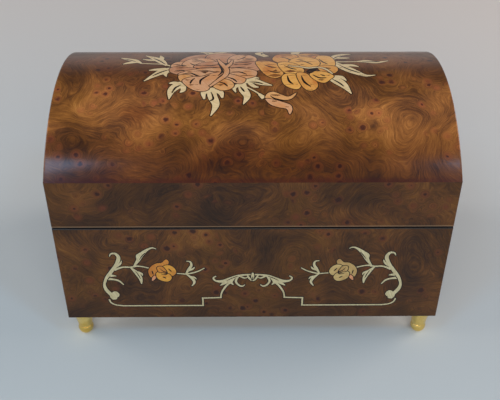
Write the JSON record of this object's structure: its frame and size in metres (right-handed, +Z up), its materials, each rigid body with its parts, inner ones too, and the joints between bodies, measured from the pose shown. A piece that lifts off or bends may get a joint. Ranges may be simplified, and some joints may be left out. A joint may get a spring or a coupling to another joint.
{
  "type": "cylinder music box",
  "caption": "Dome-lidded veneered chest on turned feet, with a lined well in front and a comb-and-cylinder movement under glass behind.",
  "frame": {"origin": "on the floor under the middle of the chest", "axes": "+X right along the chest's length, +Y to the back, +Z up"},
  "size_m": [0.25, 0.16, 0.166],
  "materials": {
    "burl_veneer": "burl veneer, satin-gloss lacquer",
    "walnut": "plain walnut, oiled",
    "plywood": "plywood, stained",
    "velvet": "deep red velvet",
    "glass": "clear float glass",
    "foot_brass": "turned and polished, lacquered",
    "hinge_brass": "extruded, satin",
    "movement_brass": "turned and brushed",
    "gilt_bed": "fine-ground casting, gilt",
    "steel": "ground steel",
    "blued_steel": "blued spring steel",
    "screw_steel": "polished slotted head",
    "nickel": "nickel plate"
  },
  "bodies": {
    "case": {"case_front_panel": "burl_veneer", "case_back_panel": "burl_veneer", "case_left_end": "burl_veneer", "case_right_end": "burl_veneer", "case_bottom_board": "plywood", "compartment_divider": "walnut", "cover_ledges": "walnut", "glass_cover": "glass", "well_floor_pad": "velvet", "well_wall_pads": "velvet", "hinge_left_case_leaf": "hinge_brass", "hinge_right_case_leaf": "hinge_brass", "hinge_pins": "hinge_brass", "hinge_case_screws": "hinge_brass", "movement_bedplate": "gilt_bed", "bedplate_spacers": "movement_brass", "bedplate_screws": "screw_steel", "bracket_screws": "screw_steel", "barrel_bridge": "movement_brass", "cylinder_bearing_left": "movement_brass", "cylinder_bearing_right": "movement_brass", "click": "steel", "click_screw": "screw_steel", "click_spring": "blued_steel", "comb": "steel", "comb_base": "gilt_bed", "comb_screws": "screw_steel", "governor_frame": "movement_brass", "stop_lever_bracket": "movement_brass", "plunger_guide": "movement_brass", "foot_front_left": "foot_brass", "foot_front_right": "foot_brass", "foot_back_left": "foot_brass", "foot_back_right": "foot_brass"},
    "lid": {"lid_front_rail": "burl_veneer", "lid_back_rail": "burl_veneer", "lid_left_end": "burl_veneer", "lid_right_end": "burl_veneer", "lid_vault": "burl_veneer", "lid_striker": "walnut", "hinge_left_lid_leaf": "hinge_brass", "hinge_right_lid_leaf": "hinge_brass", "hinge_lid_screws": "hinge_brass"},
    "winding": {"winding_key": "nickel", "winding_arbor": "steel", "ratchet_wheel": "steel"},
    "barrel": {"spring_barrel": "movement_brass", "barrel_cap": "movement_brass", "mainspring": "blued_steel"},
    "cylinder": {"music_cylinder": "movement_brass", "cylinder_ends": "movement_brass", "cylinder_arbor": "steel", "cylinder_pinion": "steel", "cylinder_wheel": "movement_brass"},
    "governor_wheel": {"governor_arbor": "steel", "worm_wheel": "movement_brass"},
    "governor_fly": {"governor_worm": "steel", "fly": "movement_brass"},
    "stop_lever": {"stop_lever": "steel"},
    "stop_plunger": {"stop_plunger": "nickel"}
  },
  "joints": [
    {"name": "lid_hinge", "type": "hinge", "parent": "case", "child": "lid", "pos_m": [0, 0.0775, 0.0979], "axis": [-1, 0, 0], "range_deg": [0, 100]},
    {"name": "key_turn", "type": "hinge", "parent": "case", "child": "winding", "pos_m": [-0.06855, 0.044, 0.033], "axis": [0, 0, 1], "continuous": true},
    {"name": "cylinder_spin", "type": "hinge", "parent": "case", "child": "cylinder", "pos_m": [0, 0.044, 0.05795], "axis": [1, 0, 0], "continuous": true},
    {"name": "barrel_spin", "type": "hinge", "parent": "case", "child": "barrel", "pos_m": [-0.06855, 0.044, 0.0368], "axis": [0, 0, 1], "continuous": true},
    {"name": "governor_wheel_spin", "type": "hinge", "parent": "case", "child": "governor_wheel", "pos_m": [0.04905, 0.026, 0.05795], "axis": [1, 0, 0], "continuous": true},
    {"name": "fly_spin", "type": "hinge", "parent": "case", "child": "governor_fly", "pos_m": [0.04905, 0.0169, 0.05795], "axis": [0, 0, 1], "continuous": true},
    {"name": "stop_lever_rock", "type": "hinge", "parent": "case", "child": "stop_lever", "pos_m": [0.06505, 0.0169, 0.05895], "axis": [0, -1, 0], "range_deg": [0, 6.5]},
    {"name": "stop_plunger_slide", "type": "slide", "parent": "case", "child": "stop_plunger", "axis": [0, 0, 1], "range_m": [0, 0.0052]}
  ],
  "couplings": [
    {"joint": "barrel_spin", "follows": "cylinder_spin", "ratio": 0.2},
    {"joint": "governor_wheel_spin", "follows": "cylinder_spin", "ratio": -4},
    {"joint": "fly_spin", "follows": "cylinder_spin", "ratio": -96},
    {"joint": "stop_lever_rock", "follows": "lid_hinge", "ratio": 0.06278},
    {"joint": "stop_plunger_slide", "follows": "lid_hinge", "m_per_rad": 0.002865}
  ]
}
